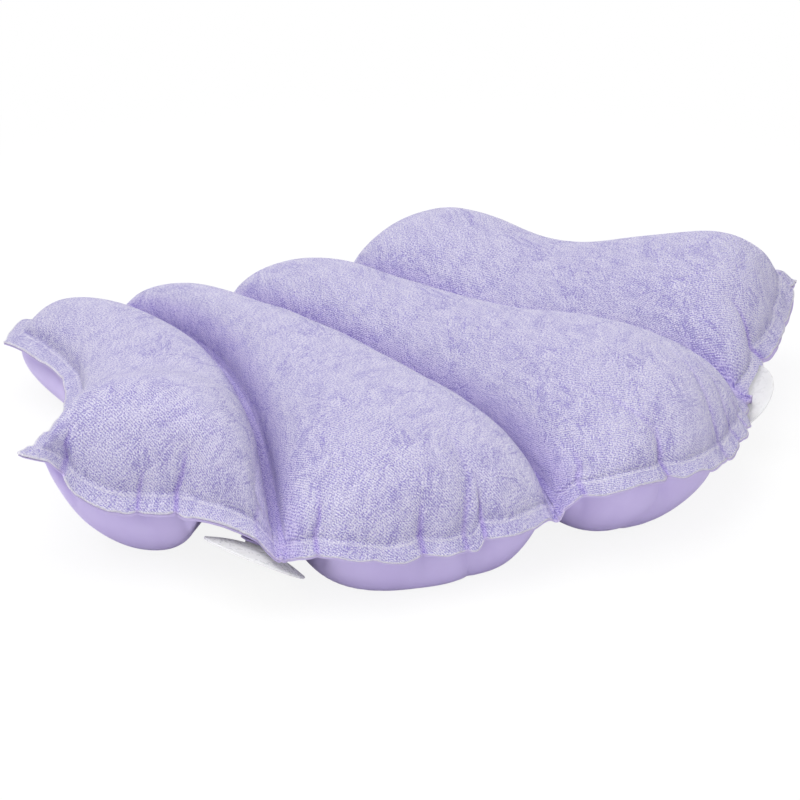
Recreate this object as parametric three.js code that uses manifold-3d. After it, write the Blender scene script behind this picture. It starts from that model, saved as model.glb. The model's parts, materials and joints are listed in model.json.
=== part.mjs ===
// Inflatable bath pillow: four fanned air lobes between a terry top sheet and a film underside,
// suction cups on tabs at the front ends of the side seams and a push-in air valve.
// Millimetres, +Z up, front towards -Y, origin on the floor under the middle of the pillow.
import * as THREE from 'three';
import { mergeVertices } from 'three/addons/utils/BufferGeometryUtils.js';
import Module from 'manifold-3d';

const wasm = await Module();
wasm.setup();

// Weld lines from the left to the right edge of the pillow: the rear and front end of each, how far its
// middle is drawn sideways and upwards, and whether that is strongest towards the rear (below 0) or the front.
const LEFT_EDGE = {
  rear: [-147, 137.2, 34.5],
  front: [-218, -27.8, 64.5],
  drawX: 27, drawZ: -4.5, skew: -0.5,
};
const LEFT_SEAM = {
  rear: [-86, 145.7, 31.5],
  front: [-137, -116.3, 29.5],
  drawX: 29, drawZ: 7.5, skew: -0.4,
};
const CENTRE_SEAM = {
  rear: [-29.5, 131.2, 30],
  front: [-12.5, -149.8, 33.5],
  drawX: 14.5, drawZ: 1, skew: 0.6,
};
const RIGHT_SEAM = {
  rear: [39.5, 125.7, 31],
  front: [131, -105.8, 32],
  drawX: -15, drawZ: 0, skew: -0.5,
};
const RIGHT_EDGE = {
  rear: [139, 133.7, 35.5],
  front: [218, -31.8, 44],
  drawX: -24.5, drawZ: 0, skew: -0.4,
};
const SEAM_LIFT_POWER = 1;
const EDGE_LIFT_POWER = 2;

// Rounded lobe ends: how far each bows out past its corners (in, below 0), the weld's height at its middle,
// how full it is along, how far its crest leans to the right, the crest above the weld and the belly's height.
const OUTER_LEFT_FRONT = { bow: -11, weldZ: 41, fullness: 4.8, lean: 0.32, crest: 52, bellyZ: -9 };
const OUTER_LEFT_REAR = { bow: 24.5, weldZ: 32, fullness: 5, lean: -0.3, crest: 23, bellyZ: -6 };
const INNER_LEFT_FRONT = { bow: 14.5, weldZ: 31, fullness: 5.1, lean: 0, crest: 43, bellyZ: -22 };
const INNER_LEFT_REAR = { bow: 18.5, weldZ: 31, fullness: 3.5, lean: 0, crest: 23.5, bellyZ: -10 };
const INNER_RIGHT_FRONT = { bow: 33.5, weldZ: 41, fullness: 5.1, lean: 0.11, crest: 40, bellyZ: -10 };
const INNER_RIGHT_REAR = { bow: 17.5, weldZ: 30, fullness: 3.5, lean: 0.11, crest: 30.5, bellyZ: -10 };
const OUTER_RIGHT_FRONT = { bow: 6.5, weldZ: 43, fullness: 4.9, lean: 0.12, crest: 40, bellyZ: -6 };
const OUTER_RIGHT_REAR = { bow: 17.5, weldZ: 32.5, fullness: 3.5, lean: 0.12, crest: 35.5, bellyZ: -10 };
const BOW_SHARE = 0.95;
const BOW_ROUNDNESS = 2.3;
const BOW_FULLNESS = 0.75;
const BOW_POWER = 3;

// Waists between the fat ends: place along the lobe, and crest above the weld.
const OUTER_LEFT_WAIST = { at: 0.5, crest: 22.5 };
const INNER_LEFT_WAIST = { at: 0.49, crest: 33 };
const INNER_RIGHT_WAIST = { at: 0.43, crest: 27 };
const OUTER_RIGHT_WAIST = { at: 0.44, crest: 21.5 };

// The belly is lifted at its own waist, and the floor flattens the ends where they stand.
const BELLY_WAIST_Z = 6;
const BELLY_WAIST_AT = 0.5;
const FLOOR_CUT_DEPTH = 30;

// Roundness of the lobes across and along.
const ROUND_ACROSS = 0.435;
const ROUND_ALONG = 0.463;
const CREST_END_SHARE = 0.1;

// Sheets and welds.
const TERRY_THICKNESS = 2;
const TERRY_WELD_THICKNESS = 0.6;
const FILM_THICKNESS = 0.5;
const SHEET_GAP = 0.3;
const FLANGE_WIDTH = 9;
const SEAM_WELD_HALF = 2.6;
const SEAM_END_WEB = 12;
const SEAM_END_WEB_SHARE = 0.22;
const CUP_BAY = 34;
const CUP_BAY_FULL_SHARE = 0.12;
const CUP_BAY_SHARE = 0.45;
const FOLD_HALF_GAP = 0.45;
const DOME_COLUMNS = 10;
const DOME_ROWS = 15;

// Suction cup: a dish with a flat rim, a hub, and a neck that a head locks in the tab's hole.
const CUP_RADIUS = 24;
const CUP_DEPTH = 4;
const CUP_WALL = 1.4;
const CUP_RIM_FLAT = 1.6;
const CUP_LIP = 1.1;
const CUP_HUB_RADIUS = 6.5;
const CUP_HUB_HEIGHT = 1;
const CUP_NECK_RADIUS = 4;
const CUP_HEAD_RADIUS = 5.6;
const CUP_HEAD_HEIGHT = 1.6;
const CUP_CURVE_STEPS = 5;
const CUP_SEGMENTS = 24;

// Cup tab: a film tongue welded under the web at a seam's front end and reaching back under the pillow.
const TAB_THICKNESS = 0.8;
const TAB_HALF_WIDTH = 9;
const TAB_ROOT_REACH = 8;
const FIT_CLEARANCE = 0.3;
const TAB_SEGMENTS = 12;

// Place of a cup's hole from its seam's end: into the pillow and down, on each side its own, and away from
// the centre line; then the cup's lean towards the centre line and into the pillow, in degrees.
const CUP_LEFT = { inset: 24, drop: 5.8 };
const CUP_RIGHT = { inset: 18, drop: 4.6 };
const CUP_OFF_CENTRE = 6;
const CUP_CENTRE_LEAN = 28;
const CUP_INWARD_LEAN = 20;

// Air valve under the lifted waist of the inner right lobe.
const VALVE_DISC_RADIUS = 12;
const VALVE_DISC_THICKNESS = 1.2;
const VALVE_COLLAR_WALL = 1.2;
const VALVE_COLLAR_LENGTH = 8;
const STEM_RADIUS = 6;
const STEM_BORE_RADIUS = 4;
const STEM_PROUD = 0.6;
const STEM_LUG_HALF_WIDTH = 2;
const STRAP_THICKNESS = 0.6;
const PLUG_HEAD_RADIUS = 5.6;
const PLUG_HEAD_THICKNESS = 1.6;
const PLUG_STUB_RADIUS = 3.6;
const PLUG_STUB_TIP_RADIUS = 2.4;
const PLUG_STUB_LENGTH = 5;
const PLUG_HINGE_X = 9;
const FLAP_RADIUS = 5.2;
const FLAP_THICKNESS = 0.8;
const VALVE_SEGMENTS = 20;

const TERRY = { color: 0xbcb6da, roughness: 0.95, metalness: 0 };
const FILM = { color: 0xb4a7d2, roughness: 0.38, metalness: 0 };
const CLEAR_VINYL = { color: 0xd4d4d2, roughness: 0.3, metalness: 0, transparent: true, opacity: 0.75 };
const WHITE_VINYL = { color: 0xe8e6ee, roughness: 0.4, metalness: 0 };

// The floor reaches past every lobe.
const FLOOR_SPAN = 4 * RIGHT_EDGE.front[0];

const pillow = new THREE.Group();
const { lerp, clamp, degToRad, smoothstep } = THREE.MathUtils;

function addMesh(parent, name, geometry, look) {
  const mesh = new THREE.Mesh(geometry, new THREE.MeshStandardMaterial(look));
  mesh.name = name;
  parent.add(mesh);
  return mesh;
}

// A smooth arch of height one at mid-length, zero at both ends.
function arch(v) {
  return 4 * v * (1 - v);
}

// Rails are the lines that bound the lobes; v runs from 0 at the rear to 1 at the front.
function rail({ rear, front, drawX, drawZ, skew }, liftPower) {
  return (v) => {
    const point = new THREE.Vector3(...rear).lerp(new THREE.Vector3(...front), v);
    point.x += drawX * arch(v) * (1 + skew * (2 * v - 1));
    point.z = lerp(rear[2], front[2], v ** liftPower) + drawZ * arch(v);
    return point;
  };
}

const leftEdge = rail(LEFT_EDGE, EDGE_LIFT_POWER);
const leftSeam = rail(LEFT_SEAM, SEAM_LIFT_POWER);
const centreSeam = rail(CENTRE_SEAM, SEAM_LIFT_POWER);
const rightSeam = rail(RIGHT_SEAM, SEAM_LIFT_POWER);
const rightEdge = rail(RIGHT_EDGE, EDGE_LIFT_POWER);

const OUTER_LEFT = { rear: OUTER_LEFT_REAR, waist: OUTER_LEFT_WAIST, front: OUTER_LEFT_FRONT };
const INNER_LEFT = { rear: INNER_LEFT_REAR, waist: INNER_LEFT_WAIST, front: INNER_LEFT_FRONT };
const INNER_RIGHT = { rear: INNER_RIGHT_REAR, waist: INNER_RIGHT_WAIST, front: INNER_RIGHT_FRONT };
const OUTER_RIGHT = { rear: OUTER_RIGHT_REAR, waist: OUTER_RIGHT_WAIST, front: OUTER_RIGHT_FRONT };

function makeLobe(name, form, leftRail, rightRail, leftMargin, rightMargin) {
  const rearMiddle = leftRail(0).add(rightRail(0)).multiplyScalar(0.5);
  const frontMiddle = leftRail(1).add(rightRail(1)).multiplyScalar(0.5);
  const along = frontMiddle.sub(rearMiddle).setZ(0);
  const length = along.length();
  return { name, form, leftRail, rightRail, leftMargin, rightMargin, length, along: along.normalize() };
}

// Under a side seam the film stays flat over a web at both ends, where the cups hang.
function webHalf(v) {
  const fromEnd = Math.min(v, 1 - v);
  return SEAM_WELD_HALF + SEAM_END_WEB * (1 - smoothstep(fromEnd, 0, SEAM_END_WEB_SHARE));
}

// Under an outer lobe the film stays up over a wide bay at the front, so that the cup tucks in.
function bayHalf(v) {
  const bay = CUP_BAY * (1 - smoothstep(1 - v, CUP_BAY_FULL_SHARE, CUP_BAY_SHARE));
  return Math.max(webHalf(v), bay);
}

// Margins of a sheet's two sides: where it is cut, and where the domes of its two sheets begin.
const FREE_EDGE = { cut: 0, terryFoot: () => FLANGE_WIDTH, filmFoot: () => FLANGE_WIDTH };
const CENTRE_EDGE = { cut: FOLD_HALF_GAP, terryFoot: () => SEAM_WELD_HALF, filmFoot: () => SEAM_WELD_HALF };
const INNER_SIDE_EDGE = { cut: FOLD_HALF_GAP, terryFoot: () => SEAM_WELD_HALF, filmFoot: webHalf };
const OUTER_SIDE_EDGE = { cut: FOLD_HALF_GAP, terryFoot: () => SEAM_WELD_HALF, filmFoot: bayHalf };
const LOBES = [
  makeLobe('outer_left', OUTER_LEFT, leftEdge, leftSeam, FREE_EDGE, OUTER_SIDE_EDGE),
  makeLobe('inner_left', INNER_LEFT, leftSeam, centreSeam, INNER_SIDE_EDGE, CENTRE_EDGE),
  makeLobe('inner_right', INNER_RIGHT, centreSeam, rightSeam, CENTRE_EDGE, INNER_SIDE_EDGE),
  makeLobe('outer_right', OUTER_RIGHT, rightSeam, rightEdge, OUTER_SIDE_EDGE, FREE_EDGE),
];

// How far an end of the lobe stands out past its corners, at s across the lobe.
function bow(s) {
  const fromMiddle = Math.min(1, Math.abs(s) / BOW_SHARE);
  return (1 - fromMiddle ** BOW_ROUNDNESS) ** BOW_FULLNESS;
}

// A point of the weld surface, at s across and t along the lobe, both from -1 to 1.
function weldPoint(lobe, s, t) {
  const v = (t + 1) / 2;
  const k = (s + 1) / 2;
  const left = lobe.leftRail(v);
  const right = lobe.rightRail(v);
  const point = left.clone().lerp(right, k);
  const { rear, front } = lobe.form;
  const reach = t > 0 ? front.bow : rear.bow;
  point.addScaledVector(lobe.along, bow(s) * reach * t ** BOW_POWER);
  const middle = lerp(rear.weldZ, front.weldZ, v);
  point.z += (1 - s * s) * (middle - (left.z + right.z) / 2);
  return point;
}

// A smooth line through rear, waist and front values, level at all three, with the waist at its own place.
function throughWaist(rear, waist, front, at, v) {
  const u = (v - CREST_END_SHARE) / (1 - 2 * CREST_END_SHARE);
  if (u < at) return lerp(rear, waist, smoothstep(u, 0, at));
  return lerp(waist, front, smoothstep(u, at, 1));
}

// Share of full height of a sheet's dome, whose foot lies a margin inside the sheet's edges.
function swell(lobe, sheet, s, t, inset, lean = 0) {
  const v = (t + 1) / 2;
  const width = lobe.leftRail(v).distanceTo(lobe.rightRail(v));
  const left = lobe.leftMargin[sheet](v) + inset;
  const right = lobe.rightMargin[sheet](v) + inset;
  const fromLeft = ((s + 1) / 2) * width - left;
  const clear = width - left - right;
  const across = clamp((2 * fromLeft) / clear - 1, -1, 1);
  const leaning = clamp(across - lean * (1 - across * across), -1, 1);
  const foot = endFoot(lobe, s, t > 0 ? 1 : -1, inset);
  const along = clamp(Math.abs(t) / foot, 0, 1);
  const { fullness } = t > 0 ? lobe.form.front : lobe.form.rear;
  return (1 - leaning * leaning) ** ROUND_ACROSS * (1 - along ** fullness) ** ROUND_ALONG;
}

// The t, as a size, at which the dome meets the flange of the front (1) or rear (-1) end.
function endFoot(lobe, s, end, inset) {
  const reach = end > 0 ? lobe.form.front.bow : lobe.form.rear.bow;
  const stretch = lobe.length / 2 + BOW_POWER * reach * bow(s);
  return 1 - (FLANGE_WIDTH + inset) / stretch;
}

// Places of both sheets' columns and rows: the cut edges, and a dome that is finer at its foot.
function spread(count) {
  return Array.from({ length: count + 1 }, (_, i) => Math.sin((i / count - 0.5) * Math.PI));
}

function columnPositions(lobe, v) {
  const width = lobe.leftRail(v).distanceTo(lobe.rightRail(v));
  const toS = (distance) => (2 * distance) / width - 1;
  const low = lobe.leftMargin.terryFoot(v);
  const high = width - lobe.rightMargin.terryFoot(v);
  const dome = spread(DOME_COLUMNS).map((u) => toS(lerp(low, high, (u + 1) / 2)));
  return [toS(lobe.leftMargin.cut), ...dome, toS(width - lobe.rightMargin.cut)];
}

function rowPositions(lobe, s) {
  const rear = -endFoot(lobe, s, -1, 0);
  const front = endFoot(lobe, s, 1, 0);
  return [-1, ...spread(DOME_ROWS).map((u) => lerp(rear, front, (u + 1) / 2)), 1];
}

// A grid of points of one lobe's sheet, each raised or lowered from the weld surface by a height rule.
function sheetGrid(lobe, height) {
  return rowPositions(lobe, 0).map((middleT, row) => {
    const columns = columnPositions(lobe, (middleT + 1) / 2);
    return columns.map((s) => {
      const t = rowPositions(lobe, s)[row];
      const point = weldPoint(lobe, s, t);
      point.z = height(point.z, s, t);
      return point;
    });
  });
}

// A closed sheet between an upper and a lower grid of points.
function closedSheet(upper, lower) {
  const rows = upper.length;
  const columns = upper[0].length;
  const positions = [...upper.flat(), ...lower.flat()].flatMap((p) => [p.x, p.y, p.z]);
  const up = (row, column) => row * columns + column;
  const down = (row, column) => rows * columns + up(row, column);
  const index = [];
  for (let r = 0; r + 1 < rows; r += 1) {
    for (let c = 0; c + 1 < columns; c += 1) {
      index.push(up(r, c), up(r + 1, c), up(r + 1, c + 1));
      index.push(up(r, c), up(r + 1, c + 1), up(r, c + 1));
      index.push(down(r, c), down(r + 1, c + 1), down(r + 1, c));
      index.push(down(r, c), down(r, c + 1), down(r + 1, c + 1));
    }
  }
  const wall = (from, to) => {
    const [a, b] = [up(...from), up(...to)];
    const [c, d] = [down(...from), down(...to)];
    index.push(b, a, c, b, c, d);
  };
  for (let r = 0; r + 1 < rows; r += 1) {
    wall([r, 0], [r + 1, 0]);
    wall([r + 1, columns - 1], [r, columns - 1]);
  }
  for (let c = 0; c + 1 < columns; c += 1) {
    wall([rows - 1, c], [rows - 1, c + 1]);
    wall([0, c + 1], [0, c]);
  }
  const geometry = new THREE.BufferGeometry();
  geometry.setAttribute('position', new THREE.Float32BufferAttribute(positions, 3));
  geometry.setIndex(index);
  return geometry;
}

function terryGeometry(lobe) {
  const { rear, waist, front } = lobe.form;
  const crest = (t) => throughWaist(rear.crest, waist.crest, front.crest, waist.at, (t + 1) / 2);
  const lean = (t) => lerp(rear.lean, front.lean, (t + 1) / 2);
  const outside = (weld, s, t) => {
    const base = SHEET_GAP / 2 + TERRY_WELD_THICKNESS;
    return weld + base + (crest(t) - base) * swell(lobe, 'terryFoot', s, t, 0, lean(t));
  };
  const inside = (weld, s, t) => {
    const base = SHEET_GAP / 2;
    const height = crest(t) - TERRY_THICKNESS - base;
    return weld + base + height * swell(lobe, 'terryFoot', s, t, TERRY_THICKNESS, lean(t));
  };
  return closedSheet(sheetGrid(lobe, outside), sheetGrid(lobe, inside));
}

function solid(geometry) {
  const bare = geometry.clone();
  bare.deleteAttribute('normal');
  bare.deleteAttribute('uv');
  const merged = mergeVertices(bare);
  const vertProperties = new Float32Array(merged.attributes.position.array);
  const triVerts = new Uint32Array(merged.index.array);
  return new wasm.Manifold(new wasm.Mesh({ numProp: 3, vertProperties, triVerts }));
}

function fromSolid(body) {
  const { vertProperties, triVerts } = body.getMesh();
  const geometry = new THREE.BufferGeometry();
  geometry.setAttribute('position', new THREE.Float32BufferAttribute(vertProperties, 3));
  geometry.setIndex(Array.from(triVerts));
  return geometry;
}

// The lowest line of a lobe, before the floor flattens it.
function bellyLine(lobe, t) {
  const { rear, front } = lobe.form;
  return throughWaist(rear.bellyZ, BELLY_WAIST_Z, front.bellyZ, BELLY_WAIST_AT, (t + 1) / 2);
}

function filmOutside(lobe, weld, s, t) {
  const base = weld - SHEET_GAP / 2 - FILM_THICKNESS;
  return lerp(base, bellyLine(lobe, t), swell(lobe, 'filmFoot', s, t, 0));
}

// A lobe's film, cut flat where it stands on the floor.
function filmGeometry(lobe) {
  const outside = (weld, s, t) => filmOutside(lobe, weld, s, t);
  const inside = (weld, s, t) => {
    const base = weld - SHEET_GAP / 2;
    const low = bellyLine(lobe, t) + FILM_THICKNESS;
    const share = swell(lobe, 'filmFoot', s, t, FILM_THICKNESS);
    return Math.max(FILM_THICKNESS, lerp(base, low, share));
  };
  const sheet = closedSheet(sheetGrid(lobe, inside), sheetGrid(lobe, outside));
  const floor = new THREE.BoxGeometry(FLOOR_SPAN, FLOOR_SPAN, FLOOR_CUT_DEPTH);
  floor.translate(0, 0, -FLOOR_CUT_DEPTH / 2);
  return fromSolid(solid(sheet).subtract(solid(floor)));
}

// A turned piece about its own Z axis, from a profile of radius and height pairs.
function turned(profile, segments) {
  const points = profile.map(([radius, height]) => new THREE.Vector2(radius, height));
  return new THREE.LatheGeometry(points, segments).rotateX(Math.PI / 2);
}

// Suction cup with its rim at height zero, its dish opening downwards and its head on top.
const CUP_SHOULDER_Z = CUP_DEPTH + CUP_WALL + CUP_HUB_HEIGHT;
const CUP_NECK_TOP_Z = CUP_SHOULDER_Z + TAB_THICKNESS + 2 * FIT_CLEARANCE;

function cupGeometry() {
  const dish = (radius, depth) => depth * (1 - (radius / (CUP_RADIUS - CUP_RIM_FLAT)) ** 2);
  const profile = [];
  for (let i = 0; i <= CUP_CURVE_STEPS; i += 1) {
    const radius = ((CUP_RADIUS - CUP_RIM_FLAT) * i) / CUP_CURVE_STEPS;
    profile.push([radius, dish(radius, CUP_DEPTH)]);
  }
  profile.push([CUP_RADIUS, 0], [CUP_RADIUS, CUP_LIP]);
  for (let i = CUP_CURVE_STEPS; i >= 0; i -= 1) {
    const radius = lerp(CUP_HUB_RADIUS, CUP_RADIUS - CUP_RIM_FLAT, i / CUP_CURVE_STEPS);
    profile.push([radius, CUP_WALL + dish(radius, CUP_DEPTH)]);
  }
  profile.push([CUP_HUB_RADIUS, CUP_SHOULDER_Z], [CUP_NECK_RADIUS, CUP_SHOULDER_Z]);
  profile.push([CUP_NECK_RADIUS, CUP_NECK_TOP_Z], [CUP_HEAD_RADIUS, CUP_NECK_TOP_Z]);
  profile.push([CUP_HEAD_RADIUS, CUP_NECK_TOP_Z + CUP_HEAD_HEIGHT / 2]);
  profile.push([CUP_NECK_RADIUS, CUP_NECK_TOP_Z + CUP_HEAD_HEIGHT], [0, CUP_NECK_TOP_Z + CUP_HEAD_HEIGHT]);
  return turned(profile, CUP_SEGMENTS);
}

// Tab in the plane of its own hole: a tongue with a round end, its root towards -Y.
function tabGeometry() {
  const outline = new THREE.Shape();
  outline.moveTo(-TAB_HALF_WIDTH, -TAB_ROOT_REACH);
  outline.lineTo(TAB_HALF_WIDTH, -TAB_ROOT_REACH);
  outline.lineTo(TAB_HALF_WIDTH, 0);
  outline.absarc(0, 0, TAB_HALF_WIDTH, 0, Math.PI, false);
  const hole = new THREE.Path();
  hole.absarc(0, 0, CUP_NECK_RADIUS + FIT_CLEARANCE, 0, 2 * Math.PI, true);
  outline.holes.push(hole);
  const options = { depth: TAB_THICKNESS, bevelEnabled: false, curveSegments: TAB_SEGMENTS };
  return new THREE.ExtrudeGeometry(outline, options);
}

// A seam's cup and tab, in a group whose Z axis is the cup's and whose Y axis points into the pillow.
function addCup(word, seam, { inset, drop }) {
  const tip = seam(1);
  const inward = seam(0.5).sub(tip).setZ(0).normalize();
  const up = new THREE.Vector3(0, 0, 1);
  const side = new THREE.Vector3().crossVectors(inward, up);
  const outSign = Math.sign(tip.x);
  const group = new THREE.Group();
  group.position.copy(tip).addScaledVector(inward, inset);
  group.position.addScaledVector(side, outSign * CUP_OFF_CENTRE);
  group.position.addScaledVector(up, -drop);
  group.quaternion.setFromRotationMatrix(new THREE.Matrix4().makeBasis(side, inward, up));
  group.rotateY(-outSign * degToRad(CUP_CENTRE_LEAN));
  group.rotateX(-degToRad(CUP_INWARD_LEAN));
  pillow.add(group);
  const tab = addMesh(group, `cup_tab_${word}`, tabGeometry(), FILM);
  tab.position.z = -TAB_THICKNESS;
  const cup = addMesh(group, `suction_cup_${word}`, cupGeometry(), CLEAR_VINYL);
  cup.position.z = -TAB_THICKNESS - FIT_CLEARANCE - CUP_SHOULDER_Z;
}

// Air valve, about its own Z axis, which points out of the film.
const COLLAR_BORE_RADIUS = STEM_RADIUS + FIT_CLEARANCE;
const COLLAR_RADIUS = COLLAR_BORE_RADIUS + VALVE_COLLAR_WALL;
const DISC_TOP_Z = FIT_CLEARANCE + VALVE_DISC_THICKNESS;
const STEM_TOP_Z = DISC_TOP_Z + STEM_PROUD;
const PLUG_SEAT_Z = STEM_TOP_Z + FIT_CLEARANCE;

function valveDiscGeometry() {
  const profile = [
    [COLLAR_BORE_RADIUS, -VALVE_COLLAR_LENGTH],
    [COLLAR_RADIUS, -VALVE_COLLAR_LENGTH],
    [COLLAR_RADIUS, FIT_CLEARANCE],
    [VALVE_DISC_RADIUS, FIT_CLEARANCE],
    [VALVE_DISC_RADIUS, DISC_TOP_Z],
    [COLLAR_BORE_RADIUS, DISC_TOP_Z],
    [COLLAR_BORE_RADIUS, -VALVE_COLLAR_LENGTH],
  ];
  return turned(profile, VALVE_SEGMENTS);
}

// A flat strap along X from one radius to another, between two heights.
function strapGeometry(from, to, low, high) {
  const strap = new THREE.BoxGeometry(to - from, 2 * STEM_LUG_HALF_WIDTH, high - low);
  return strap.translate((from + to) / 2, 0, (low + high) / 2);
}

function valveStemGeometry() {
  const profile = [
    [STEM_BORE_RADIUS, -VALVE_COLLAR_LENGTH],
    [STEM_RADIUS, -VALVE_COLLAR_LENGTH],
    [STEM_RADIUS, STEM_TOP_Z],
    [STEM_BORE_RADIUS, STEM_TOP_Z],
    [STEM_BORE_RADIUS, -VALVE_COLLAR_LENGTH],
  ];
  const wallMiddle = (STEM_RADIUS + STEM_BORE_RADIUS) / 2;
  const lug = strapGeometry(wallMiddle, PLUG_HINGE_X, DISC_TOP_Z + FIT_CLEARANCE / 2, STEM_TOP_Z);
  return fromSolid(solid(turned(profile, VALVE_SEGMENTS)).add(solid(lug)));
}

function valvePlugGeometry() {
  const profile = [
    [0, PLUG_SEAT_Z - PLUG_STUB_LENGTH],
    [PLUG_STUB_TIP_RADIUS, PLUG_SEAT_Z - PLUG_STUB_LENGTH],
    [PLUG_STUB_RADIUS, PLUG_SEAT_Z],
    [PLUG_HEAD_RADIUS, PLUG_SEAT_Z],
    [PLUG_HEAD_RADIUS, PLUG_SEAT_Z + PLUG_HEAD_THICKNESS],
    [0, PLUG_SEAT_Z + PLUG_HEAD_THICKNESS],
  ];
  const headMiddle = PLUG_HEAD_RADIUS / 2;
  const strap = strapGeometry(headMiddle, PLUG_HINGE_X, PLUG_SEAT_Z, PLUG_SEAT_Z + STRAP_THICKNESS);
  return fromSolid(solid(turned(profile, VALVE_SEGMENTS)).add(solid(strap)));
}

function valveFlapGeometry() {
  const top = -VALVE_COLLAR_LENGTH - FIT_CLEARANCE;
  const profile = [
    [0, top - FLAP_THICKNESS],
    [FLAP_RADIUS, top - FLAP_THICKNESS],
    [FLAP_RADIUS, top],
    [0, top],
  ];
  return turned(profile, VALVE_SEGMENTS);
}

// Where the valve sits on a lobe's film: the middle of the facet at the belly's waist, and its directions.
function valveSeat(lobe) {
  const grid = sheetGrid(lobe, (weld, s, t) => filmOutside(lobe, weld, s, t));
  const waistT = 2 * lerp(CREST_END_SHARE, 1 - CREST_END_SHARE, BELLY_WAIST_AT) - 1;
  const ahead = rowPositions(lobe, 0).findIndex((t) => t > waistT);
  const middle = Math.floor(grid[ahead].length / 2);
  const rear = grid[ahead - 1][middle];
  const front = grid[ahead][middle];
  const seat = rear.clone().lerp(front, 0.5);
  const across = grid[ahead][middle + 1].clone().sub(grid[ahead][middle - 1]);
  const outward = new THREE.Vector3().crossVectors(across, front.clone().sub(rear)).normalize();
  return { seat, across: across.normalize(), outward };
}

function addValve(lobe, film) {
  const { seat, across, outward } = valveSeat(lobe);
  const group = new THREE.Group();
  const third = new THREE.Vector3().crossVectors(outward, across).normalize();
  const first = new THREE.Vector3().crossVectors(third, outward);
  group.quaternion.setFromRotationMatrix(new THREE.Matrix4().makeBasis(first, third, outward));
  group.position.copy(seat);
  group.updateMatrixWorld(true);
  pillow.add(group);
  addMesh(group, 'valve_flange', valveDiscGeometry(), WHITE_VINYL);
  addMesh(group, 'valve_stem', valveStemGeometry(), WHITE_VINYL);
  addMesh(group, 'valve_plug', valvePlugGeometry(), WHITE_VINYL);
  addMesh(group, 'valve_flap', valveFlapGeometry(), WHITE_VINYL);
  const holeRadius = COLLAR_RADIUS + FIT_CLEARANCE;
  const cutter = new THREE.CylinderGeometry(holeRadius, holeRadius, 2 * VALVE_COLLAR_LENGTH, VALVE_SEGMENTS);
  cutter.rotateX(Math.PI / 2).applyMatrix4(group.matrixWorld);
  film.geometry = fromSolid(solid(film.geometry).subtract(solid(cutter)));
}

for (const lobe of LOBES) {
  addMesh(pillow, `terry_panel_${lobe.name}`, terryGeometry(lobe), TERRY);
  const film = addMesh(pillow, `film_panel_${lobe.name}`, filmGeometry(lobe), FILM);
  if (lobe.name === 'inner_right') addValve(lobe, film);
}
addCup('left', leftSeam, CUP_LEFT);
addCup('right', rightSeam, CUP_RIGHT);

export default pillow;
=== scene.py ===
"""Inflatable fan-shaped bath pillow: four air lobes of terry over film, two suction cups and a valve."""
import json
import math

import bmesh
import bpy
import numpy as np
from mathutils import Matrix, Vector


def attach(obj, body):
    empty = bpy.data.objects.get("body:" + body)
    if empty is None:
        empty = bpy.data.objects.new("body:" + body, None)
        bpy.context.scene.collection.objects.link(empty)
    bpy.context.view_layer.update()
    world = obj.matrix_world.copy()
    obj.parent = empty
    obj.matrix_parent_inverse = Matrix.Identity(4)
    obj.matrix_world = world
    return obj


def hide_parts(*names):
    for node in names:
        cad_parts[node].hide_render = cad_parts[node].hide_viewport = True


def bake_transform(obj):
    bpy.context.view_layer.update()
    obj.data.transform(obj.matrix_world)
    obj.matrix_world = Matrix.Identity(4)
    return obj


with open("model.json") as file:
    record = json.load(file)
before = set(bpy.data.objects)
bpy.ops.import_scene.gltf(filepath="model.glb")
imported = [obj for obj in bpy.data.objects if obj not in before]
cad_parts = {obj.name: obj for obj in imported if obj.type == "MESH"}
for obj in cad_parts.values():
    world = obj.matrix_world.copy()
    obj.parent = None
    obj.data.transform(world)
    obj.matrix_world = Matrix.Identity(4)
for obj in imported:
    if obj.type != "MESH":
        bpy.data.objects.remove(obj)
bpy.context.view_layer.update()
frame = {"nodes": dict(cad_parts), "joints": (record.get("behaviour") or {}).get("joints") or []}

# Lobes from left to right, and which way the free side of an outer lobe lies
SIDES = ("outer_left", "inner_left", "inner_right", "outer_right")
FREE_SIDE = {0: -1, 3: 1}

# The five weld lines beside and between the lobes: rear and front end, how far the middle is drawn
# sideways and up, the draw's skew to the front and the power of the height's sweep
SEAMS = (
    dict(rear=(-.147, .1372, .0345), front=(-.218, -.0278, .0645), draw=.027, rise=-.0045, skew=-.5, power=2),
    dict(rear=(-.086, .1457, .0315), front=(-.137, -.1163, .0295), draw=.029, rise=.0075, skew=-.4, power=1),
    dict(rear=(-.0295, .1312, .03), front=(-.0125, -.1498, .0335), draw=.0145, rise=.001, skew=.6, power=1),
    dict(rear=(.0395, .1257, .031), front=(.131, -.1058, .032), draw=-.015, rise=0, skew=-.5, power=1),
    dict(rear=(.139, .1337, .0355), front=(.218, -.0318, .044), draw=-.0245, rise=0, skew=-.4, power=2),
)

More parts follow.
